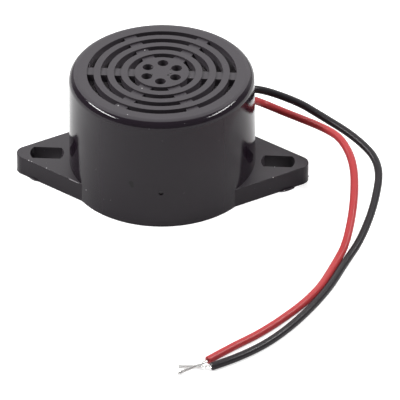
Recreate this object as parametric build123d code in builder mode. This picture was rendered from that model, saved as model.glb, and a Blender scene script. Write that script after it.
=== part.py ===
from build123d import *
from math import cos, pi, radians, sin, tan
import os

# A piezo buzzer: a round slotted housing with two mounting ears and two flying leads.
# The origin is the centre of the base, +X runs along the ears and +Z is up. Millimetres.

# Housing: one moulding of cup, grille and ears
height = 19.8
rim_radius = 15.0
base_radius = 15.18
rim_rounding = 1.4
bore_radius = 13.7
throat_radius = 12.6
throat_bottom = 13.6
grille_thickness = 1.6
gate_mark_radius = 0.4
gate_mark_depth = 0.15
gate_mark_angle = -86.4
gate_mark_height = 6.5

# Ears: the side lines of the flange touch a circle round the centre
ear_thickness = 3.28
ear_half_angle = 34.17
ear_line_distance = 14.185
ear_tip_radius = 1.87
ear_root_x = 10.0
ear_edge_rounding = 0.12
slot_spacing = 37.65
slot_length = 5.5
slot_width = 3.2

# Grille: slotted rings round a disc with six holes, over six sunk spokes
disc_radius = 4.4
ring_step = 1.1
slot_rings = 4
spoke_count = 6
spoke_width = 2.1
spoke_drop = 0.28
centre_hole_radius = 0.875
centre_hole_circle = 2.68

# Base cover, pressed into a seat at the bottom of the bore
cover_radius = 13.95
cover_seat_radius = 14.1
cover_bottom = 0.3
cover_top = 1.7
cover_chamfer = 0.2
post_radius = 1.1
post_circle = 11.0
post_angles = (60, 170, 300)

# Piezo element: brass plate against the throat, ceramic and silver below it
plate_radius = 13.5
plate_bottom = 13.3
ceramic_radius = 10.0
ceramic_bottom = 13.05
silver_radius = 9.4
silver_bottom = 12.95
tongue_angle = 240
tongue_width = 3.2
tongue_length = 5.0
tongue_gap = 0.5
seal_width = 1.1
seal_depth = 0.9
dot_radius = 0.9
dot_height = 0.5
ground_dot = (215, 11.5)
drive_dot = (190, 5.0)
feedback_dot = (240, 7.0)
pad_circle = 10.5
ground_pad_angle = 222
drive_pad_angle = 206
feedback_pad_angle = 238
hook_wire_radius = 0.4
hook_wire_rise = 6.8
hook_wire_crossing = 8.6
hook_wire_crown = 10.6
hook_wire_sag = 0.6
hook_wire_swing = 4

# Circuit board and what stands on it
board_radius = 13.2
board_bottom = 3.2
board_top = 4.4
leg_radius = 0.25
leg_hole_radius = 0.35
solder_height = 0.9
solder_radius = 0.6
solder_tip_radius = 0.3
coil_place = (-4.0, 3.5)
coil_flange_radius = 4.0
coil_core_radius = 1.6
coil_height = 6.6
coil_flange = 1.2
winding_radius = 3.3
coil_pin_circle = 2.5
capacitor_place = (0.5, -8.3)
capacitor_radius = 2.5
capacitor_height = 5.4
capacitor_pitch = 2.0
capacitor_chamfer = 0.4
groove_height = 1.1
groove_width = 0.4
groove_depth = 0.25
transistor_place = (6.2, -4.4)
transistor_radius = 2.3
transistor_flat = 1.2
transistor_height = 4.5
transistor_stand = 1.4
transistor_pitch = 1.27
axial_stand = 0.2
axial_chamfer = 0.3
resistor_radius = 0.95
resistor_length = 3.4
resistor_pitch = 6.4
diode_radius = 0.9
diode_length = 3.6
diode_pitch = 6.0
glue_angles = (110, 265, 350)
glue_radius = 1.6
glue_top_radius = 0.8
glue_height = 1.1
anchor_width = 6.4
anchor_height = 3.6
anchor_corner_radius = 1.7
anchor_depth = 1.9

# Leads: hook-up wire through two holes side by side in the wall
lead_radius = 0.65
lead_hole_radius = 0.75
lead_height = 9.7
lead_circle = 9.1
red_angle = 31
black_angle = 43
conductor_radius = 0.22
floor = 0.66
rounding_share = 0.45

os.makedirs("parts", exist_ok=True)


def polar(angle, radius, z):
    """The point at an angle about the vertical axis, a distance from it and a height."""
    return (radius * cos(radians(angle)), radius * sin(radians(angle)), z)


def outward(angle, radius, z):
    """The plane at a place on the wall that faces straight out."""
    return Plane(origin=polar(angle, radius, z), z_dir=polar(angle, 1, 0))


def radii(points):
    """A radius for each corner: as large as the shorter of its two runs allows."""
    found = []
    for before, corner, after in zip(points, points[1:], points[2:]):
        run_in = Vector(*corner) - Vector(*before)
        run_out = Vector(*after) - Vector(*corner)
        half_turn = radians(run_in.get_angle(run_out)) / 2
        found.append(rounding_share * min(run_in.length, run_out.length) / tan(half_turn))
    return found


def finish(piece, name):
    """Labels a finished piece and writes it."""
    piece.label = name
    export_step(piece, f"parts/{name}.step")


def wire(name, radius, points):
    """A round wire of straight runs and tangent arcs along a route."""
    with BuildPart() as strand:
        with BuildLine():
            route = FilletPolyline(*points, radius=radii(points))
        with BuildSketch(Plane(origin=route @ 0, z_dir=route % 0)):
            Circle(radius)
        sweep()
    share = strand.part.volume / (pi * radius**2 * route.length)
    bends = ", ".join(f"{r:.1f}" for r in radii(points))
    print(f"{name}: {route.length:.1f} mm long, {share:.3f} of section x length, arcs {bends}")
    finish(strand.part, name)
    return strand.part


# The housing: ears first, then the cup round the centre, then what is hollow
ear_slope = radians(ear_half_angle)
ear_corner_x = ear_line_distance / sin(ear_slope)
ear_root_y = (ear_line_distance - ear_root_x * sin(ear_slope)) / cos(ear_slope)
with BuildPart() as housing:
    with BuildSketch() as ears:
        with BuildLine():
            Polyline((ear_root_x, ear_root_y), (ear_corner_x, 0), (ear_root_x, -ear_root_y), close=True)
        make_face()
        fillet(ears.vertices().sort_by(Axis.X)[-1], radius=ear_tip_radius)
        mirror(about=Plane.YZ)
    extrude(amount=ear_thickness)
    fillet(housing.edges().group_by(Axis.Z)[-1], radius=ear_edge_rounding)

    with BuildSketch(Plane.XZ) as cup:
        with BuildLine():
            Polyline((0, 0), (base_radius, 0), (rim_radius, height), (0, height), close=True)
        make_face()
        fillet(cup.vertices().group_by(Axis.X)[-2], radius=rim_rounding)
    revolve(axis=Axis.Z)

    with BuildSketch(Plane.XZ):
        with BuildLine():
            Polyline(
                (0, 0),
                (cover_seat_radius, 0),
                (cover_seat_radius, cover_top),
                (bore_radius, cover_top),
                (bore_radius, throat_bottom),
                (throat_radius, throat_bottom),
                (throat_radius, height - grille_thickness),
                (0, height - grille_thickness),
                close=True,
            )
        make_face()
    revolve(axis=Axis.Z, mode=Mode.SUBTRACT)

    # Each slot is a circle cut by two flats
    with BuildSketch():
        with GridLocations(slot_spacing, 0, 2, 1):
            Circle(slot_length / 2)
        Rectangle(slot_spacing + slot_length, slot_width, mode=Mode.INTERSECT)
    extrude(amount=ear_thickness, mode=Mode.SUBTRACT)

    # The rings stand proud of the spokes
    with BuildSketch(Plane.XY.offset(height)):
        for ring in reversed(range(slot_rings)):
            inner_edge = disc_radius + 2 * ring * ring_step
            Circle(inner_edge + ring_step)
            Circle(inner_edge, mode=Mode.SUBTRACT)
    extrude(amount=-spoke_drop, mode=Mode.SUBTRACT)

    # The slots go through between the spokes
    with BuildSketch(Plane.XY.offset(height)):
        for ring in reversed(range(slot_rings)):
            inner_edge = disc_radius + 2 * ring * ring_step
            Circle(inner_edge + ring_step)
            Circle(inner_edge, mode=Mode.SUBTRACT)
        with PolarLocations(0, spoke_count // 2, angular_range=180):
            Rectangle(2 * rim_radius, spoke_width, mode=Mode.SUBTRACT)
        with PolarLocations(centre_hole_circle, spoke_count, start_angle=180 / spoke_count):
            Circle(centre_hole_radius)
    extrude(amount=-grille_thickness, mode=Mode.SUBTRACT)

    for angle in (red_angle, black_angle):
        with BuildSketch(outward(angle, throat_radius, lead_height)):
            Circle(lead_hole_radius)
        extrude(amount=base_radius - throat_radius + lead_hole_radius, mode=Mode.SUBTRACT)

    with BuildSketch(outward(gate_mark_angle, rim_radius - gate_mark_depth, gate_mark_height)):
        Circle(gate_mark_radius)
    extrude(amount=base_radius - rim_radius + gate_mark_depth, mode=Mode.SUBTRACT)
finish(housing.part, "housing")

# The cover closes the bore and carries the board on three posts
with BuildPart() as base_cover:
    with BuildSketch(Plane.XY.offset(cover_bottom)):
        Circle(cover_radius)
    extrude(amount=cover_top - cover_bottom)
    with BuildSketch(Plane.XY.offset(cover_top)):
        for angle in post_angles:
            with Locations(polar(angle, post_circle, 0)[:2]):
                Circle(post_radius)
    extrude(amount=board_bottom - cover_top)
    chamfer(base_cover.edges().group_by(Axis.Z)[0], length=cover_chamfer)
finish(base_cover.part, "base_cover")

# The brass plate seats on the ledge under the grille
with BuildPart() as piezo_plate:
    with BuildSketch(Plane.XY.offset(plate_bottom)):
        Circle(plate_radius)
    extrude(amount=throat_bottom - plate_bottom)
finish(piezo_plate.part, "piezo_plate")

with BuildPart() as piezo_ceramic:
    with BuildSketch(Plane.XY.offset(ceramic_bottom)):
        Circle(ceramic_radius)
    extrude(amount=plate_bottom - ceramic_bottom)
finish(piezo_ceramic.part, "piezo_ceramic")

# The silver is one disc with a tongue parted off from its edge for the feedback
with BuildPart() as drive_electrode:
    with BuildSketch(Plane.XY.offset(silver_bottom)):
        Circle(silver_radius)
        with PolarLocations(silver_radius, 1, start_angle=tongue_angle):
            SlotOverall(
                2 * (tongue_length + tongue_gap), tongue_width + 2 * tongue_gap, mode=Mode.SUBTRACT
            )
    extrude(amount=ceramic_bottom - silver_bottom)
finish(drive_electrode.part, "drive_electrode")

with BuildPart() as feedback_electrode:
    with BuildSketch(Plane.XY.offset(silver_bottom)):
        with PolarLocations(silver_radius, 1, start_angle=tongue_angle):
            SlotOverall(2 * tongue_length, tongue_width)
        Circle(silver_radius, mode=Mode.INTERSECT)
    extrude(amount=ceramic_bottom - silver_bottom)
finish(feedback_electrode.part, "feedback_electrode")

# A bead of silicone fills the corner between the plate and the bore
with BuildPart() as disc_seal:
    with BuildSketch(Plane.XZ):
        with BuildLine():
            Polyline(
                (bore_radius - seal_width, plate_bottom),
                (plate_radius, plate_bottom),
                (plate_radius, throat_bottom),
                (bore_radius, throat_bottom),
                (bore_radius, plate_bottom - seal_depth),
                close=True,
            )
        make_face()
    revolve(axis=Axis.Z)
finish(disc_seal.part, "disc_seal")

# Solder dots hold the three hook wires to the plate and to both electrodes
with BuildPart() as piezo_solder:
    for (angle, radius), face in (
        (ground_dot, plate_bottom),
        (drive_dot, silver_bottom),
        (feedback_dot, silver_bottom),
    ):
        with Locations(polar(angle, radius, face - dot_height / 2)):
            Cone(dot_radius / 2, dot_radius, dot_height)
finish(piezo_solder.part, "piezo_solder")

# Each hook wire rises from its pad to its dot with some slack
for name, pad_angle, (dot_angle, dot_circle), face in (
    ("ground_wire", ground_pad_angle, ground_dot, plate_bottom),
    ("drive_wire", drive_pad_angle, drive_dot, silver_bottom),
    ("feedback_wire", feedback_pad_angle, feedback_dot, silver_bottom),
):
    wire(
        name,
        hook_wire_radius,
        [
            polar(pad_angle, pad_circle, board_top),
            polar(pad_angle, pad_circle, hook_wire_rise),
            polar(
                dot_angle - hook_wire_swing,
                (pad_circle + dot_circle) / 2 - hook_wire_sag,
                hook_wire_crossing,
            ),
            polar(dot_angle, dot_circle, hook_wire_crown),
            polar(dot_angle, dot_circle, face - dot_height),
        ],
    )

# Axial parts lie on the board: name, centre, direction, radius, length, pitch of the legs
axial_parts = (
    ("bias_resistor", (2.4, 1.4), 90, resistor_radius, resistor_length, resistor_pitch),
    ("feedback_resistor", (5.0, 0.6), 90, resistor_radius, resistor_length, resistor_pitch),
    ("damping_resistor", (-0.6, 10.2), 0, resistor_radius, resistor_length, resistor_pitch),
    ("protection_diode", (9.6, -0.6), 90, diode_radius, diode_length, diode_pitch),
)
pin_places = [polar(angle, coil_pin_circle, 0)[:2] for angle in (90, 210, 330)]
coil_pins = [(coil_place[0] + x, coil_place[1] + y) for x, y in pin_places]
capacitor_pins = [
    (capacitor_place[0] + side * capacitor_pitch / 2, capacitor_place[1]) for side in (-1, 1)
]
transistor_pins = [
    (transistor_place[0] + step * transistor_pitch, transistor_place[1]) for step in (-1, 0, 1)
]
axial_pins = []
for _, (x, y), turn, _, _, pitch in axial_parts:
    for side in (-1, 1):
        reach = polar(turn, side * pitch / 2, 0)
        axial_pins.append((x + reach[0], y + reach[1]))
hook_pins = [
    polar(angle, pad_circle, 0)[:2] for angle in (ground_pad_angle, drive_pad_angle, feedback_pad_angle)
]
lead_pins = [polar(angle, lead_circle, 0)[:2] for angle in (red_angle, black_angle)]
board_holes = coil_pins + capacitor_pins + transistor_pins + axial_pins + hook_pins + lead_pins

with BuildPart() as circuit_board:
    with BuildSketch(Plane.XY.offset(board_bottom)):
        Circle(board_radius)
        with Locations(*board_holes):
            Circle(leg_hole_radius, mode=Mode.SUBTRACT)
    extrude(amount=board_top - board_bottom)
finish(circuit_board.part, "circuit_board")

with BuildPart() as board_solder:
    with Locations(*[(x, y, board_bottom - solder_height / 2) for x, y in board_holes]):
        Cone(solder_tip_radius, solder_radius, solder_height)
finish(board_solder.part, "board_solder")

# The coil is a ferrite drum with its winding in the waist
coil_top = board_top + coil_height
with BuildPart() as coil_core:
    with BuildSketch(Plane.XY.offset(board_top)):
        with Locations(coil_place):
            Circle(coil_flange_radius)
    extrude(amount=coil_flange)
    with BuildSketch(Plane.XY.offset(board_top + coil_flange)):
        with Locations(coil_place):
            Circle(coil_core_radius)
    extrude(amount=coil_height - 2 * coil_flange)
    with BuildSketch(Plane.XY.offset(coil_top - coil_flange)):
        with Locations(coil_place):
            Circle(coil_flange_radius)
    extrude(amount=coil_flange)
finish(coil_core.part, "coil_core")

with BuildPart() as coil_winding:
    with BuildSketch(Plane.XY.offset(board_top + coil_flange)):
        with Locations(coil_place):
            Circle(winding_radius)
            Circle(coil_core_radius, mode=Mode.SUBTRACT)
    extrude(amount=coil_height - 2 * coil_flange)
finish(coil_winding.part, "coil_winding")


def straight_legs(name, places, top):
    """The legs of an upright part, from its underside through the board."""
    with BuildPart() as legs:
        with BuildSketch(Plane.XY.offset(board_bottom)):
            with Locations(*places):
                Circle(leg_radius)
        extrude(amount=top - board_bottom)
    finish(legs.part, name)


straight_legs("coil_legs", coil_pins, board_top)
straight_legs("capacitor_legs", capacitor_pins, board_top)
straight_legs("transistor_legs", transistor_pins, board_top + transistor_stand)
straight_legs("wire_tails", hook_pins + lead_pins, board_top)

# The capacitor can has the rolled groove near its foot
with BuildPart() as capacitor:
    with BuildSketch(Plane.XY.offset(board_top)):
        with Locations(capacitor_place):
            Circle(capacitor_radius)
    extrude(amount=capacitor_height)
    chamfer(capacitor.edges().group_by(Axis.Z)[-1], length=capacitor_chamfer)
    with BuildSketch(Plane.XY.offset(board_top + groove_height)):
        with Locations(capacitor_place):
            Circle(capacitor_radius)
            Circle(capacitor_radius - groove_depth, mode=Mode.SUBTRACT)
    extrude(amount=groove_width, mode=Mode.SUBTRACT)
finish(capacitor.part, "capacitor")

# The transistor is a half-round moulding with one flat side
with BuildPart() as transistor:
    with BuildSketch(Plane.XY.offset(board_top + transistor_stand)):
        with Locations(transistor_place):
            Circle(transistor_radius)
        with Locations((transistor_place[0], transistor_place[1] - transistor_flat - transistor_radius)):
            Rectangle(2 * transistor_radius, 2 * transistor_radius, mode=Mode.SUBTRACT)
    extrude(amount=transistor_height)
finish(transistor.part, "transistor")

for name, (x, y), turn, radius, length, pitch in axial_parts:
    along = Vector(*polar(turn, 1, 0))
    centre = Vector(x, y, board_top + axial_stand + radius)
    with BuildPart() as body:
        with BuildSketch(Plane(origin=centre - along * (length / 2), z_dir=along)):
            Circle(radius)
        extrude(amount=length)
        chamfer(body.edges().filter_by(GeomType.CIRCLE), length=axial_chamfer)
    finish(body.part, name)
    with BuildPart() as legs:
        for side in (-1, 1):
            end = centre + along * (side * length / 2)
            corner = centre + along * (side * pitch / 2)
            foot = Vector(corner.X, corner.Y, board_bottom)
            with BuildLine():
                bent = Polyline(end, corner, foot)
            with BuildSketch(Plane(origin=end, z_dir=along * side)):
                Circle(leg_radius)
            sweep(path=bent, transition=Transition.RIGHT)
    finish(legs.part, f"{name}_legs")

# Each lead climbs from the board, leaves square to the wall and swings round the right ear
# to the front in one long loose arc that comes down to the table on its way
inner_route = (
    (lead_circle, board_top),
    (lead_circle, 6.2),
    (9.8, 7.8),
    (11.0, 9.0),
    (12.6, lead_height),
    (16.1, lead_height),
)
red_route = [polar(red_angle, radius, z) for radius, z in inner_route] + [
    (15.5, 10.5, 7.6),
    (19.4, 9.5, 6.5),
    (26.7, 3.6, 7.5),
    (29.5, 0.0, 7.7),
    (31.6, -5.5, 6.5),
    (31.9, -13.6, 4.5),
    (31.1, -20.9, 2.1),
    (29.7, -24.2, floor),
    (26.9, -33.5, floor),
    (19.8, -43.6, floor),
    (14.3, -48.8, floor),
    (11.1, -52.3, floor),
]
black_route = [polar(black_angle, radius, z) for radius, z in inner_route] + [
    (15.1, 13.3, 8.5),
    (21.4, 11.4, 7.4),
    (24.6, 9.2, 6.8),
    (31.4, 4.0, 5.8),
    (35.6, -1.2, 4.4),
    (35.2, -9.9, 2.8),
    (33.4, -18.6, 1.5),
    (31.2, -23.8, floor),
    (28.5, -32.9, floor),
    (22.9, -43.7, floor),
    (16.9, -50.6, floor),
    (11.8, -53.9, floor),
]
red_lead = wire("red_lead", lead_radius, red_route)
black_lead = wire("black_lead", lead_radius, black_route)

# The bare ends cross: black runs straight on along the table, red bends over it
red_end_route = [
    red_route[-1],
    (10.5, -53.1, 0.78),
    (9.8, -53.8, 0.82),
    (8.9, -54.3, 0.65),
    (7.6, -55.0, 0.4),
    (6.5, -55.6, 0.24),
]
black_end_route = [
    black_route[-1],
    (10.8, -53.9, 0.5),
    (9.9, -53.6, 0.3),
    (8.4, -53.5, 0.24),
    (6.5, -53.7, 0.24),
]
wire("red_conductor", conductor_radius, red_end_route)
wire("black_conductor", conductor_radius, black_end_route)

# Hot-melt: one dab locks both leads behind their holes, three hold the board's edge
with BuildPart() as lead_anchor:
    with BuildSketch(outward((red_angle + black_angle) / 2, bore_radius - anchor_depth, lead_height)):
        RectangleRounded(anchor_width, anchor_height, radius=anchor_corner_radius)
    extrude(amount=2 * anchor_depth)
    with BuildSketch(Plane.XY.offset(lead_height - anchor_height)):
        Circle(bore_radius)
    extrude(amount=2 * anchor_height, mode=Mode.INTERSECT)
    add(red_lead, mode=Mode.SUBTRACT)
    add(black_lead, mode=Mode.SUBTRACT)
finish(lead_anchor.part, "lead_anchor")

with BuildPart() as board_glue:
    for angle in glue_angles:
        with Locations(polar(angle, board_radius, board_top + glue_height / 2)):
            Cone(glue_radius, glue_top_radius, glue_height)
    with BuildSketch(Plane.XY.offset(board_top)):
        Circle(bore_radius)
    extrude(amount=glue_height, mode=Mode.INTERSECT)
finish(board_glue.part, "board_glue")
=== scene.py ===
# A buzzer with two mounting ears and two flying leads, dressed for its picture.
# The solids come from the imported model. This script gives them their finish and adds the leads' smooth
# course, the stripped strands and the small faults of the moulding. Lengths are in metres.
import math
import random

import bmesh
import bpy
from mathutils import Matrix, Quaternion, Vector


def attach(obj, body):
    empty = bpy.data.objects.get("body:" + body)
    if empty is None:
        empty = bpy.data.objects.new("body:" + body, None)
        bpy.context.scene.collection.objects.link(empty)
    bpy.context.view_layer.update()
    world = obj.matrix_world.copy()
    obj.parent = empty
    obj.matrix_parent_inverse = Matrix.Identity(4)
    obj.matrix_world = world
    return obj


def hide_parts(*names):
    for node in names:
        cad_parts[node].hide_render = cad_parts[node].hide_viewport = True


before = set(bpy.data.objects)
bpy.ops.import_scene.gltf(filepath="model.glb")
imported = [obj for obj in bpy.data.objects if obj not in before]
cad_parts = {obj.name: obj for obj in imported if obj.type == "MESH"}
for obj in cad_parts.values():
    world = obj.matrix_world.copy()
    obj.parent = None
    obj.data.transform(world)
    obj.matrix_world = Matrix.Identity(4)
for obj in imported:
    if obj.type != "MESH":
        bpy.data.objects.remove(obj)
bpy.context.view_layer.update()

# The camera
# It stands in front and a little to the right, looks down by about 34 degrees from over a metre away,
# and is tipped by a fraction of a degree.
view_azimuth = math.radians(4.277)
view_elevation = math.radians(34.430)
view_distance = 1.1359
view_roll = math.radians(-0.282)
aim = Vector((0.00663, -0.00715, 0))
lens_length = 631.3
film_width = 36

to_camera = Vector(
    (
        math.sin(view_azimuth) * math.cos(view_elevation),
        -math.cos(view_azimuth) * math.cos(view_elevation),
        math.sin(view_elevation),
    )
)


def placed(name, data):
    """A new object for a mesh, curve, lamp or camera, at the origin."""
    thing = bpy.data.objects.new(name, data)
    bpy.context.scene.collection.objects.link(thing)
    return thing


camera_data = bpy.data.cameras.new("camera")
camera_data.lens = lens_length
camera_data.sensor_width = film_width
camera = placed("camera", camera_data)
camera.location = aim + to_camera * view_distance
camera.rotation_mode = "QUATERNION"
camera.rotation_quaternion = to_camera.to_track_quat("Z", "Y") @ Quaternion((0, 0, 1), view_roll)
bpy.context.scene.camera = camera

# The two leads
# Stranded hook-up wire in a soft jacket, red and black. Each leaves the board, passes square through its
# hole in the wall and swings round the right ear to the front, coming down to the table on its way.
lead_radius = 0.00065
lead_circle = 0.0091
board_top = 0.0044
lead_height = 0.0097
floor_height = 0.00066
lead_angles = {"red_lead": math.radians(31), "black_lead": math.radians(43)}
inner_route = (
    (lead_circle, board_top),
    (lead_circle, 0.0062),
    (0.0098, 0.0078),
    (0.0110, 0.0090),
    (0.0126, lead_height),
    (0.0161, lead_height),
)
outer_routes = {
    "red_lead": (
        (0.0155, 0.0105, 0.0076),
        (0.0194, 0.0095, 0.0065),
        (0.0267, 0.0036, 0.0075),
        (0.0295, 0.0000, 0.0077),
        (0.0316, -0.0055, 0.0065),
        (0.0319, -0.0136, 0.0045),
        (0.0311, -0.0209, 0.0021),
        (0.0297, -0.0242, floor_height),
        (0.0269, -0.0335, floor_height),
        (0.0198, -0.0436, floor_height),
        (0.0143, -0.0488, floor_height),
        (0.0111, -0.0523, floor_height),
    ),
    "black_lead": (
        (0.0151, 0.0133, 0.0085),
        (0.0214, 0.0114, 0.0074),
        (0.0246, 0.0092, 0.0068),
        (0.0314, 0.0040, 0.0058),
        (0.0356, -0.0012, 0.0044),
        (0.0352, -0.0099, 0.0028),
        (0.0334, -0.0186, 0.0015),
        (0.0312, -0.0238, floor_height),
        (0.0285, -0.0329, floor_height),
        (0.0229, -0.0437, floor_height),
        (0.0169, -0.0506, floor_height),
        (0.0118, -0.0539, floor_height),
    ),
}
jacket_colours = {"red_lead": (0.40, 0.040, 0.044), "black_lead": (0.018, 0.0155, 0.018)}
jacket_roughness = 0.3
jacket_ior = 1.3
curve_steps = 12
round_steps = 10


def smooth_curve(name, points, radius):
    """A NURBS curve over control points, as thick as its radius, or a bare line if that is 0."""
    data = bpy.data.curves.new(name, "CURVE")
    data.dimensions = "3D"
    data.resolution_u = curve_steps
    data.bevel_depth = radius
    data.bevel_resolution = round_steps
    data.use_fill_caps = True
    spline = data.splines.new("NURBS")
    spline.points.add(len(points) - 1)
    for place, point in zip(spline.points, points):
        place.co = (*point, 1)
    spline.order_u = 3
    spline.use_endpoint_u = True
    return placed(name, data)


def new_material(name):
    """A material with its nodes, links and shader, ready to be wired."""
    material = bpy.data.materials.new(name)
    material.use_nodes = True
    nodes = material.node_tree.nodes
    return material, nodes, material.node_tree.links, nodes["Principled BSDF"]


def surface_unevenness_group():
    """Shared by all finishes: cloudy tone and fine grain over Object coordinates, in metres."""
    group = bpy.data.node_groups.new("surface_unevenness", "ShaderNodeTree")
    for socket, kind, start in (
        ("Colour", "NodeSocketColor", (0.5, 0.5, 0.5, 1)),
        ("Cloud Size", "NodeSocketFloat", 0.004),
        ("Cloud Amount", "NodeSocketFloat", 0.1),
        ("Grain Size", "NodeSocketFloat", 0.0002),
        ("Roughness", "NodeSocketFloat", 0.4),
        ("Roughness Spread", "NodeSocketFloat", 0.1),
    ):
        made = group.interface.new_socket(socket, in_out="INPUT", socket_type=kind)
        made.default_value = start
    group.interface.new_socket("Colour", in_out="OUTPUT", socket_type="NodeSocketColor")
    group.interface.new_socket("Roughness", in_out="OUTPUT", socket_type="NodeSocketFloat")
    group.interface.new_socket("Grain", in_out="OUTPUT", socket_type="NodeSocketFloat")
    nodes, links = group.nodes, group.links
    given = nodes.new("NodeGroupInput")
    result = nodes.new("NodeGroupOutput")
    place = nodes.new("ShaderNodeTexCoord")

    def noise_of(size_socket, detail):
        scale = nodes.new("ShaderNodeMath")
        scale.operation = "DIVIDE"
        scale.inputs[0].default_value = 1
        links.new(given.outputs[size_socket], scale.inputs[1])
        noise = nodes.new("ShaderNodeTexNoise")
        noise.inputs["Detail"].default_value = detail
        links.new(place.outputs["Object"], noise.inputs["Vector"])
        links.new(scale.outputs[0], noise.inputs["Scale"])
        return noise.outputs["Fac"]

    clouds = noise_of("Cloud Size", 3)
    grain = noise_of("Grain Size", 2)
    centred = nodes.new("ShaderNodeMath")
    centred.operation = "SUBTRACT"
    centred.inputs[1].default_value = 0.5
    links.new(clouds, centred.inputs[0])
    tone = nodes.new("ShaderNodeMath")
    tone.operation = "MULTIPLY_ADD"
    tone.inputs[2].default_value = 1
    links.new(centred.outputs[0], tone.inputs[0])
    links.new(given.outputs["Cloud Amount"], tone.inputs[1])
    tinted = nodes.new("ShaderNodeVectorMath")
    tinted.operation = "SCALE"
    links.new(given.outputs["Colour"], tinted.inputs[0])
    links.new(tone.outputs[0], tinted.inputs["Scale"])
    rough = nodes.new("ShaderNodeMath")
    rough.operation = "MULTIPLY_ADD"
    links.new(centred.outputs[0], rough.inputs[0])
    links.new(given.outputs["Roughness Spread"], rough.inputs[1])
    links.new(given.outputs["Roughness"], rough.inputs[2])
    links.new(tinted.outputs[0], result.inputs["Colour"])
    links.new(rough.outputs[0], result.inputs["Roughness"])
    links.new(grain, result.inputs["Grain"])
    return group


surface_unevenness = surface_unevenness_group()


def uneven_finish(
    name, colour, roughness, cloud=0.004, amount=0.15, spread=0.1, grain=0.0002, bump=0.000004, metallic=0
):
    """A finish in one colour with the shared clouds and grain, its shader and its group node."""
    material, nodes, links, shader = new_material(name)
    group = nodes.new("ShaderNodeGroup")
    group.node_tree = surface_unevenness
    group.inputs["Colour"].default_value = (*colour, 1)
    group.inputs["Cloud Size"].default_value = cloud
    group.inputs["Cloud Amount"].default_value = amount
    group.inputs["Grain Size"].default_value = grain
    group.inputs["Roughness"].default_value = roughness
    group.inputs["Roughness Spread"].default_value = spread
    links.new(group.outputs["Colour"], shader.inputs["Base Color"])
    links.new(group.outputs["Roughness"], shader.inputs["Roughness"])
    relief = nodes.new("ShaderNodeBump")
    relief.inputs["Distance"].default_value = bump
    links.new(group.outputs["Grain"], relief.inputs["Height"])
    links.new(relief.outputs["Normal"], shader.inputs["Normal"])
    shader.inputs["Metallic"].default_value = metallic
    return material, shader, group


def dress(node, material):
    """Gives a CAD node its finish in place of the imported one."""
    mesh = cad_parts[node].data
    mesh.materials.clear()
    mesh.materials.append(material)


jackets = {}
for name, colour in jacket_colours.items():
    jackets[name], jacket_shader, _ = uneven_finish(name + "_jacket", colour, jacket_roughness, cloud=0.003)
    jacket_shader.inputs["IOR"].default_value = jacket_ior

# The stripped ends
# Seven tinned copper strands, twisted together, come out of each jacket where it was cut off square. Red's
# bend over black's, and about their outer half was dipped in solder. A ring with a sharp edge ends each
# jacket.
end_routes = {
    "red_lead": (
        outer_routes["red_lead"][-1],
        (0.0105, -0.0531, 0.00078),
        (0.0098, -0.0538, 0.00082),
        (0.0089, -0.0543, 0.00065),
        (0.0076, -0.0550, 0.00040),
        (0.0065, -0.0556, 0.00024),
    ),
    "black_lead": (
        outer_routes["black_lead"][-1],
        (0.0108, -0.0539, 0.00050),
        (0.0099, -0.0536, 0.00030),
        (0.0084, -0.0535, 0.00024),
        (0.0065, -0.0537, 0.00024),
    ),
}
tinned_copper, _, _ = uneven_finish(
    "tinned_copper", (0.92, 0.91, 0.90), 0.18, cloud=0.0006, amount=0.3, spread=0.1, metallic=1
)
solder_dip, _, _ = uneven_finish(
    "solder_dip", (0.26, 0.24, 0.23), 0.35, cloud=0.0005, amount=0.6, spread=0.3, metallic=1
)
strand_radius = 0.00008
strand_circle = 0.00017
strand_lay = 0.0038
strand_step = 0.0001
strand_seed = 7
wound_strands = 6
most_cut_short = 4
looseness = 0.5
loose_towards_tip = 4
dipped_lead = "red_lead"
dipped_from = 0.45
dipped_spacing = 4
dipped_radius = 0.00024
cut_depth = 0.0004
cut_bore = 0.00026
cut_rounding = 0.00005
cut_steps = 40
strand_round_steps = 3
merge_distance = 0.000001
sharp_edge = math.radians(35)


def line_points(points):
    """Places along the smooth curve over control points, at even steps."""
    guide = smooth_curve("guide", points, 0)
    guide.data.use_fill_caps = False
    graph = bpy.context.evaluated_depsgraph_get()
    line = bpy.data.meshes.new_from_object(guide.evaluated_get(graph))
    raw = [vertex.co.copy() for vertex in line.vertices]
    bpy.data.meshes.remove(line)
    bpy.data.objects.remove(guide)
    even, carried = [raw[0]], 0
    for start, end in zip(raw, raw[1:]):
        run = (end - start).length
        while carried + strand_step <= run:
            carried += strand_step
            even.append(start.lerp(end, carried / run))
        carried -= run
    return even


def twisted_strands(name, points, seed):
    """Seven strands along a line, one in the middle and six wound about it, a little loose at the tip."""
    dice = random.Random(seed)
    data = bpy.data.curves.new(name, "CURVE")
    data.dimensions = "3D"
    data.bevel_depth = strand_radius
    data.bevel_resolution = strand_round_steps
    data.use_fill_caps = True
    line = line_points(points)
    start_turn = dice.uniform(0, math.tau)
    for number in range(wound_strands + 1):
        cut_short = dice.randrange(0, most_cut_short)
        spread = looseness * dice.random()
        spline = data.splines.new("POLY")
        count = len(line) - cut_short
        spline.points.add(count - 1)
        for step in range(count):
            along = (line[min(step + 1, len(line) - 1)] - line[max(step - 1, 0)]).normalized()
            side = along.cross(Vector((0, 0, 1))).normalized()
            up = side.cross(along)
            turn = start_turn + (number / wound_strands + step * strand_step / strand_lay) * math.tau
            reach = strand_circle if number < wound_strands else 0
            reach *= 1 + spread * (step / count) ** loose_towards_tip
            place = line[step] + (side * math.cos(turn) + up * math.sin(turn)) * reach
            place.z = max(place.z, strand_radius)
            spline.points[step].co = (*place, 1)
    return placed(name, data)


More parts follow.
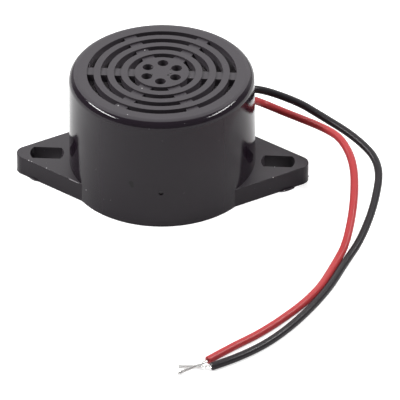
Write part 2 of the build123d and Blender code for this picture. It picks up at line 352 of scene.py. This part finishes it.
def cut_end(name, place, along):
    """The last bit of a jacket, cut square, with the bore that the strands come out of."""
    form = bmesh.new()
    profile = [
        form.verts.new((radius, 0, height))
        for radius, height in (
            (cut_bore, -cut_depth),
            (cut_bore, -cut_rounding),
            (cut_bore + cut_rounding, 0),
            (lead_radius - cut_rounding, 0),
            (lead_radius, -cut_rounding),
            (lead_radius, -cut_depth),
        )
    ]
    edges = [form.edges.new(pair) for pair in zip(profile, profile[1:] + profile[:1])]
    bmesh.ops.spin(
        form,
        geom=profile + edges,
        axis=(0, 0, 1),
        cent=(0, 0, 0),
        angle=math.tau,
        steps=cut_steps,
        use_merge=True,
    )
    bmesh.ops.remove_doubles(form, verts=form.verts, dist=merge_distance)
    bmesh.ops.recalc_face_normals(form, faces=form.faces)
    turned = along.to_track_quat("Z", "Y").to_matrix().to_4x4()
    bmesh.ops.transform(form, matrix=Matrix.Translation(place) @ turned, verts=form.verts)
    mesh = bpy.data.meshes.new(name)
    form.to_mesh(mesh)
    form.free()
    mesh.shade_smooth()
    mesh.set_sharp_from_angle(angle=sharp_edge)
    return placed(name, mesh)


for name, angle in lead_angles.items():
    colour = name.replace("_lead", "")
    inner = [(r * math.cos(angle), r * math.sin(angle), z) for r, z in inner_route]
    route = [Vector(point) for point in inner + list(outer_routes[name])]
    along = (route[-1] - route[-2]).normalized()
    cut = cut_end(colour + "_cut_end", route[-1], along)
    cut.data.materials.append(jackets[name])
    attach(cut, "root")
    strands = twisted_strands(colour + "_strands", end_routes[name], strand_seed)
    strands.data.materials.append(tinned_copper)
    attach(strands, "root")
    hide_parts(colour + "_conductor")
    if name == dipped_lead:
        line = line_points(end_routes[name])
        dipped = line[int(len(line) * dipped_from) :: dipped_spacing]
        tip = smooth_curve(colour + "_tip", dipped, dipped_radius)
        tip.data.materials.append(solder_dip)
        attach(tip, "root")
    lead = smooth_curve(name + "_jacket", route[:-1] + [route[-1] - along * cut_depth], lead_radius)
    lead.data.materials.append(jackets[name])
    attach(lead, "root")
    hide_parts(name)

# The housing
# One moulding of cup, grille and ears in black plastic. The flat faces on top are blasted matt. The wall is
# satin when it is looked at square on and a mirror at a glance, and the rounded rim is glossy.
housing_colour = (0.0105, 0.0065, 0.0110)
blasted_colour = (0.0375, 0.0325, 0.0385)
blasted_roughness = 0.42
square_on_roughness = 0.33
glancing_roughness = 0.07
rim_roughness = 0.09
rim_start, rim_end = 0.0183, 0.0186
glance_start, glance_end = 0.3, 0.65
blasted_from, blasted_to = 0.875, 0.915
housing_ior = 1.36
housing_plastic, housing_shader, housing_group = uneven_finish(
    "housing_plastic",
    housing_colour,
    square_on_roughness,
    cloud=0.006,
    amount=0.12,
    spread=0.02,
    bump=0.000009,
)
housing_shader.inputs["IOR"].default_value = housing_ior
nodes, links = housing_plastic.node_tree.nodes, housing_plastic.node_tree.links


def ramp(value, low, high, at_low, at_high):
    """A clamped straight line between two values, which may be sockets themselves."""
    line = nodes.new("ShaderNodeMapRange")
    line.inputs["From Min"].default_value = low
    line.inputs["From Max"].default_value = high
    links.new(value, line.inputs["Value"])
    for socket, given in (("To Min", at_low), ("To Max", at_high)):
        if isinstance(given, bpy.types.NodeSocket):
            links.new(given, line.inputs[socket])
        else:
            line.inputs[socket].default_value = given
    return line.outputs["Result"]


place = nodes.new("ShaderNodeTexCoord")
place_xyz = nodes.new("ShaderNodeSeparateXYZ")
facing_xyz = nodes.new("ShaderNodeSeparateXYZ")
links.new(place.outputs["Object"], place_xyz.inputs[0])
links.new(place.outputs["Normal"], facing_xyz.inputs[0])
glance = nodes.new("ShaderNodeLayerWeight")
wall_rough = ramp(
    glance.outputs["Facing"], glance_start, glance_end, square_on_roughness, glancing_roughness
)
rim_rough = ramp(place_xyz.outputs["Z"], rim_start, rim_end, wall_rough, rim_roughness)
blasted = ramp(facing_xyz.outputs["Z"], blasted_from, blasted_to, 0, 1)
links.new(ramp(blasted, 0, 1, rim_rough, blasted_roughness), housing_group.inputs["Roughness"])

# The upright walls of the slots and holes get a paler tone, more so deep down: painted light that lifts the
# shade in these hollows so that they come out about as dark as in the picture. It is fitted to the picture
# and stands for no known coating.
cavity_painted_light_colour = (0.056, 0.049, 0.057)
deep_painted_light_colour = (0.095, 0.086, 0.097)
grille_reach = 0.0128
grille_deep, grille_shallow = 0.0176, 0.0194
ear_top = 0.005
ear_slot_middle, ear_slot_reach = 0.018825, 0.0029
upright_below = 0.5


def combine(operation, first, second):
    """One arithmetic step on two values, which may be sockets."""
    step = nodes.new("ShaderNodeMath")
    step.operation = operation
    for socket, given in zip(step.inputs, (first, second)):
        if isinstance(given, bpy.types.NodeSocket):
            links.new(given, socket)
        else:
            socket.default_value = given
    return step.outputs[0]


from_ear_slot = nodes.new("ShaderNodeVectorMath")
from_ear_slot.operation = "LENGTH"
ear_slot_offset = nodes.new("ShaderNodeCombineXYZ")
across = combine("SUBTRACT", combine("ABSOLUTE", place_xyz.outputs["X"], 0), ear_slot_middle)
links.new(across, ear_slot_offset.inputs["X"])
links.new(place_xyz.outputs["Y"], ear_slot_offset.inputs["Y"])
links.new(ear_slot_offset.outputs[0], from_ear_slot.inputs[0])
from_axis = nodes.new("ShaderNodeVectorMath")
from_axis.operation = "LENGTH"
flat_place = nodes.new("ShaderNodeCombineXYZ")
links.new(place_xyz.outputs["X"], flat_place.inputs["X"])
links.new(place_xyz.outputs["Y"], flat_place.inputs["Y"])
links.new(flat_place.outputs[0], from_axis.inputs[0])
painted_light_cavity_mask = combine(
    "MULTIPLY",
    combine(
        "MAXIMUM",
        combine("LESS_THAN", from_axis.outputs["Value"], grille_reach),
        combine("LESS_THAN", from_ear_slot.outputs["Value"], ear_slot_reach),
    ),
    combine("LESS_THAN", facing_xyz.outputs["Z"], upright_below),
)


def mix_colour(share, first, second):
    """One colour over another by a mask. Both may be sockets."""
    mix = nodes.new("ShaderNodeMix")
    mix.data_type = "RGBA"
    links.new(share, mix.inputs["Factor"])
    for socket, given in (("A", first), ("B", second)):
        if isinstance(given, bpy.types.NodeSocket):
            links.new(given, mix.inputs[socket])
        else:
            mix.inputs[socket].default_value = (*given, 1)
    return mix.outputs["Result"]


spot_core = 0.6


def near_places(places):
    """A mask of small round spots, each given by its place and radius."""
    spots = 0
    for *centre, radius in places:
        span = nodes.new("ShaderNodeVectorMath")
        span.operation = "DISTANCE"
        span.inputs[1].default_value = centre
        links.new(place.outputs["Object"], span.inputs[0])
        spot = ramp(span.outputs["Value"], radius * spot_core, radius, 1, 0)
        spots = combine("MAXIMUM", spots, spot)
    return spots


# Dust on the grille, the ears and the wall and in the right slot, about where the picture shows it
dust_colour = (0.62, 0.61, 0.62)
dust_places = (
    (-0.00328, 0.00673, 0.01952, 0.00010),
    (-0.00279, -0.00490, 0.01980, 0.00010),
    (-0.00624, -0.00972, 0.01952, 0.00010),
    (-0.00451, -0.01262, 0.0198, 0.00008),
    (-0.00166, 0.00139, 0.0198, 0.00009),
    (0.00150, -0.00010, 0.0199, 0.00008),
    (-0.02160, -0.00235, 0.00328, 0.00011),
    (-0.02109, -0.00266, 0.00328, 0.00009),
    (-0.01851, -0.00440, 0.00328, 0.00010),
    (0.01841, -0.00163, 0.00322, 0.00013),
    (0.01835, -0.00466, 0.00325, 0.00010),
    (0.02010, -0.00372, 0.00012, 0.00011),
    (-0.01166, -0.00972, 0.00288, 0.00010),
)

# A faint dark scuff on the wall, a little left of the front
scuff_colour = (0.002, 0.001, 0.002)
scuff_places = ((-0.00388, -0.01459, 0.0079, 0.0005), (-0.00372, -0.01463, 0.0074, 0.0004))

# A fine sprinkle of dust all over, scattered by a pattern and not placed from the picture
sprinkle_cell, sprinkle_size, sprinkle_share = 0.0011, 0.045, 0.35
sprinkle_strength = 0.25
sprinkle = nodes.new("ShaderNodeTexVoronoi")
sprinkle.inputs["Scale"].default_value = 1 / sprinkle_cell
links.new(place.outputs["Object"], sprinkle.inputs["Vector"])
chosen = nodes.new("ShaderNodeSeparateXYZ")
links.new(sprinkle.outputs["Color"], chosen.inputs[0])
sprinkled = combine(
    "MULTIPLY",
    combine("LESS_THAN", sprinkle.outputs["Distance"], sprinkle_size),
    combine("LESS_THAN", chosen.outputs["X"], sprinkle_share),
)

# Dark spots beside the sound holes are painted shade standing for small nicks. A round spot on the wall,
# taken for the mark of the gate, is painted paler than the wall: painted light that lifts the shade there.
nick_painted_shade_colour = (0.004, 0.004, 0.004)
nick_painted_shade_places = (
    (0.00003, 0.00190, 0.0198, 0.00022),
    (-0.00176, 0.00112, 0.0198, 0.00018),
    (-0.00160, -0.00088, 0.0198, 0.00030),
    (0.00137, 0.00093, 0.0198, 0.00020),
    (0.00114, -0.00080, 0.0198, 0.00026),
)
# The gate spot is painted paler than the wall: painted light that lifts the shade in it.
gate_painted_light_colour = (0.028, 0.024, 0.029)
gate_painted_light_places = ((0.00094, -0.0149, 0.0065, 0.0005),)
shallow = combine(
    "MAXIMUM",
    ramp(place_xyz.outputs["Z"], grille_deep, grille_shallow, 0, 1),
    combine("LESS_THAN", place_xyz.outputs["Z"], ear_top),
)
# Painted light: the paler tones of the slot and hole walls, deeper down paler still
cavity_painted_light = mix_colour(shallow, deep_painted_light_colour, cavity_painted_light_colour)
tone = mix_colour(blasted, housing_colour, blasted_colour)
tone = mix_colour(painted_light_cavity_mask, tone, cavity_painted_light)
tone = mix_colour(near_places(nick_painted_shade_places), tone, nick_painted_shade_colour)
tone = mix_colour(near_places(gate_painted_light_places), tone, gate_painted_light_colour)
tone = mix_colour(near_places(scuff_places), tone, scuff_colour)
tone = mix_colour(combine("MULTIPLY", sprinkled, sprinkle_strength), tone, dust_colour)
links.new(mix_colour(near_places(dust_places), tone, dust_colour), housing_group.inputs["Colour"])
dress("housing", housing_plastic)

# Moulding flash and burrs, and a painted highlight
# Small grains of plastic left by the mould along the ears' lower edge, at the slots' upper edge and beside
# the sound holes. A pale bead on a narrow stretch of the left ear's upper front edge is a
# painted highlight.
dice = random.Random(3)
unevenness = 0.12


def lumps(name, places, material):
    """Small uneven grains of plastic: place, length, width and height, and the way the length points."""
    form = bmesh.new()
    for x, y, z, length, width, height, heading in places:
        grain = bmesh.ops.create_icosphere(form, subdivisions=2, radius=0.5)["verts"]
        for vert in grain:
            vert.co *= 1 + dice.uniform(-unevenness, unevenness)
        size = Matrix.Diagonal((length, width, height, 1))
        turn = Matrix.Rotation(math.radians(heading), 4, "Z")
        bmesh.ops.transform(form, matrix=Matrix.Translation((x, y, z)) @ turn @ size, verts=grain)
    mesh = bpy.data.meshes.new(name)
    form.to_mesh(mesh)
    form.free()
    mesh.shade_smooth()
    mesh.materials.append(material)
    piece = placed(name, mesh)
    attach(piece, "root")


lumps(
    "ear_flash",
    (
        (0.02056, -0.00334, 0.00008, 0.0026, 0.00078, 0.00016, 31),
        (0.02358, 0.00040, 0.00010, 0.0012, 0.00040, 0.00020, 78),
        (-0.02075, -0.00316, 0.00012, 0.0016, 0.00046, 0.00024, -34),
        (-0.02362, -0.00048, 0.00012, 0.0010, 0.00036, 0.00024, 100),
    ),
    housing_plastic,
)
lumps(
    "slot_burrs",
    (
        (0.01849, -0.00160, 0.00328, 0.00030, 0.00016, 0.00016, 0),
        (-0.02144, 0.00073, 0.00326, 0.00030, 0.00016, 0.00014, 20),
    ),
    housing_plastic,
)
lumps(
    "hole_burrs",
    (
        (-0.00172, 0.00135, 0.01978, 0.00030, 0.00016, 0.00016, 45),
        (-0.00150, -0.00066, 0.01978, 0.00026, 0.00014, 0.00012, -45),
        (0.00134, 0.00080, 0.01978, 0.00026, 0.00012, 0.00010, -45),
        (0.00144, -0.00015, 0.01980, 0.00046, 0.00016, 0.00020, 160),
        (0.00104, -0.00066, 0.01980, 0.00030, 0.00014, 0.00016, 30),
    ),
    housing_plastic,
)
# A pale bead on the left ear's upper front edge: a painted highlight.
ear_edge_painted_highlight, _, _ = uneven_finish("ear_edge_highlight_paint", (0.36, 0.34, 0.36), 0.4, cloud=0.0008, amount=0.6)
lumps("left_ear_painted_highlight", ((-0.01372, -0.00784, 0.00325, 0.0024, 0.00012, 0.00010, -34.2),), ear_edge_painted_highlight)

# The base cover
# A moulded plastic plate that closes the bottom of the bore. It lies in a seat a little wider than itself,
# carries the board on three posts and is seen only from below.
cover_plastic, _, _ = uneven_finish("cover_plastic", (0.03, 0.03, 0.032), 0.5)
dress("base_cover", cover_plastic)

# The sounding disc
# A brass plate with a fired ceramic disc and printed silver below it, held by a bead of silicone. Three
# hook wires are soldered to it. The brass is painted a dull grey, duller than real brass: painted shade, so
# that none shines through the slots.
painted_shade_brass, _, _ = uneven_finish("rolled_brass_painted_shade", (0.30, 0.28, 0.29), 0.6, metallic=1)
ceramic, _, _ = uneven_finish("fired_ceramic", (0.6, 0.56, 0.47), 0.6)
silver, _, _ = uneven_finish("printed_silver", (0.78, 0.77, 0.74), 0.45, metallic=1)
silicone, _, _ = uneven_finish("silicone", (0.75, 0.75, 0.74), 0.5)
solder, _, _ = uneven_finish("solder", (0.62, 0.62, 0.63), 0.3, metallic=1)
white_jacket, _, _ = uneven_finish("white_jacket", (0.75, 0.75, 0.73), 0.4)
for node, material in {
    "piezo_plate": painted_shade_brass,
    "piezo_ceramic": ceramic,
    "drive_electrode": silver,
    "feedback_electrode": silver,
    "disc_seal": silicone,
    "piezo_solder": solder,
    "ground_wire": jackets["black_lead"],
    "drive_wire": jackets["red_lead"],
    "feedback_wire": white_jacket,
}.items():
    dress(node, material)

# The board and its parts
# A paper laminate board with a drum coil, a transistor, a capacitor, three resistors and a diode, all
# soldered in by their legs. Hot-melt holds its edge and the leads behind their holes.
board_laminate, _, _ = uneven_finish("board_laminate", (0.36, 0.2, 0.07), 0.55)
ferrite, _, _ = uneven_finish("ferrite", (0.05, 0.05, 0.055), 0.6)
enamelled_wire, _, _ = uneven_finish("enamelled_wire", (0.5, 0.17, 0.06), 0.3, metallic=1)
can_sleeve, _, _ = uneven_finish("can_sleeve", (0.03, 0.05, 0.14), 0.35)
moulded_case, _, _ = uneven_finish("moulded_case", (0.02, 0.02, 0.02), 0.5)
lacquer, _, _ = uneven_finish("resistor_lacquer", (0.55, 0.42, 0.25), 0.4)
diode_glass, _, _ = uneven_finish("diode_glass", (0.6, 0.22, 0.08), 0.15)
hot_melt, _, _ = uneven_finish("hot_melt", (0.75, 0.7, 0.55), 0.35)
for node, material in {
    "circuit_board": board_laminate,
    "board_solder": solder,
    "coil_core": ferrite,
    "coil_winding": enamelled_wire,
    "capacitor": can_sleeve,
    "transistor": moulded_case,
    "protection_diode": diode_glass,
    "bias_resistor": lacquer,
    "feedback_resistor": lacquer,
    "damping_resistor": lacquer,
    "wire_tails": tinned_copper,
    "lead_anchor": hot_melt,
    "board_glue": hot_melt,
}.items():
    dress(node, material)
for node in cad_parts:
    if node.endswith("_legs"):
        dress(node, tinned_copper)

# The table and the light
# A plain white table just below the part, under four soft boxes. The two oval ones at the sides make the
# bright streaks on the rounded rim. The room is dim in front, where the rim mirrors it between them, and
# paler behind.
table_drop = 0.00002
table_size = 3
table_colour = (0.8, 0.8, 0.8)
table_roughness = 0.9
table_mesh = bpy.data.meshes.new("table")
table_form = bmesh.new()
bmesh.ops.create_grid(table_form, x_segments=1, y_segments=1, size=table_size)
bmesh.ops.translate(table_form, vec=(0, 0, -table_drop), verts=table_form.verts)
table_form.to_mesh(table_mesh)
table_form.free()
table = placed("table", table_mesh)
table_white, nodes, links, table_shader = new_material("table_white")
table_shader.inputs["Base Color"].default_value = (*table_colour, 1)
table_shader.inputs["Roughness"].default_value = table_roughness
table_shader.inputs["Specular IOR Level"].default_value = 0
table_shader.inputs["Emission Color"].default_value = (1, 1, 1, 1)

# A glow lifts the table towards white for the camera. In mirrors it is weak close by and strong far away.
near_lift, far_lift = 0.56, 1
near_mirrored, far_mirrored = 0.14, 0.9
near_distance, far_distance = 0.12, 0.5
seen = nodes.new("ShaderNodeLightPath")
spot = nodes.new("ShaderNodeTexCoord")
distance = nodes.new("ShaderNodeVectorMath")
distance.operation = "LENGTH"
links.new(spot.outputs["Object"], distance.inputs[0])
seen_lift = ramp(distance.outputs["Value"], near_distance, far_distance, near_lift, far_lift)
mirrored_lift = ramp(
    distance.outputs["Value"], near_distance, far_distance, near_mirrored, far_mirrored
)
lift = combine(
    "ADD",
    combine("MULTIPLY", seen.outputs["Is Camera Ray"], seen_lift),
    combine("MULTIPLY", seen.outputs["Is Glossy Ray"], mirrored_lift),
)
links.new(lift, table_shader.inputs["Emission Strength"])
table_mesh.materials.append(table_white)

room_front, room_back = 0.3, 0.8
back_from, back_to = 0.55, 0.75
world = bpy.data.worlds.new("room")
bpy.context.scene.world = world
world.use_nodes = True
nodes, links = world.node_tree.nodes, world.node_tree.links
room = nodes["Background"]
room.inputs["Color"].default_value = (1, 1, 1, 1)
looked_at = nodes.new("ShaderNodeLightPath")
heading = nodes.new("ShaderNodeTexCoord")
heading_xyz = nodes.new("ShaderNodeSeparateXYZ")
links.new(heading.outputs["Generated"], heading_xyz.inputs[0])
behind = ramp(heading_xyz.outputs["Y"], back_from, back_to, room_front, room_back)
links.new(ramp(looked_at.outputs["Is Camera Ray"], 0, 1, behind, 1), room.inputs["Strength"])


def soft_box(name, place, width, height, strength, shape="RECTANGLE"):
    """A light that faces the object, rectangular or oval, with its energy worked out from its rectangle."""
    data = bpy.data.lights.new(name, "AREA")
    data.shape = shape
    data.size, data.size_y = width, height
    data.energy = strength * math.pi * width * height
    light = placed(name, data)
    light.location = place
    light.rotation_mode = "QUATERNION"
    light.rotation_quaternion = Vector(place).to_track_quat("Z", "Y")


soft_box("left_box", (-0.37, -0.01, 0.395), 0.42, 0.044, 44, "ELLIPSE")
soft_box("right_box", (0.365, 0.05, 0.395), 0.40, 0.044, 34, "ELLIPSE")
soft_box("back_box", (0, 1.1, 0.75), 1.6, 1.0, 0.88)
soft_box("top_box", (0, 0.35, 1.15), 1.2, 0.72, 1.1)

bpy.context.scene.view_settings.view_transform = "Standard"
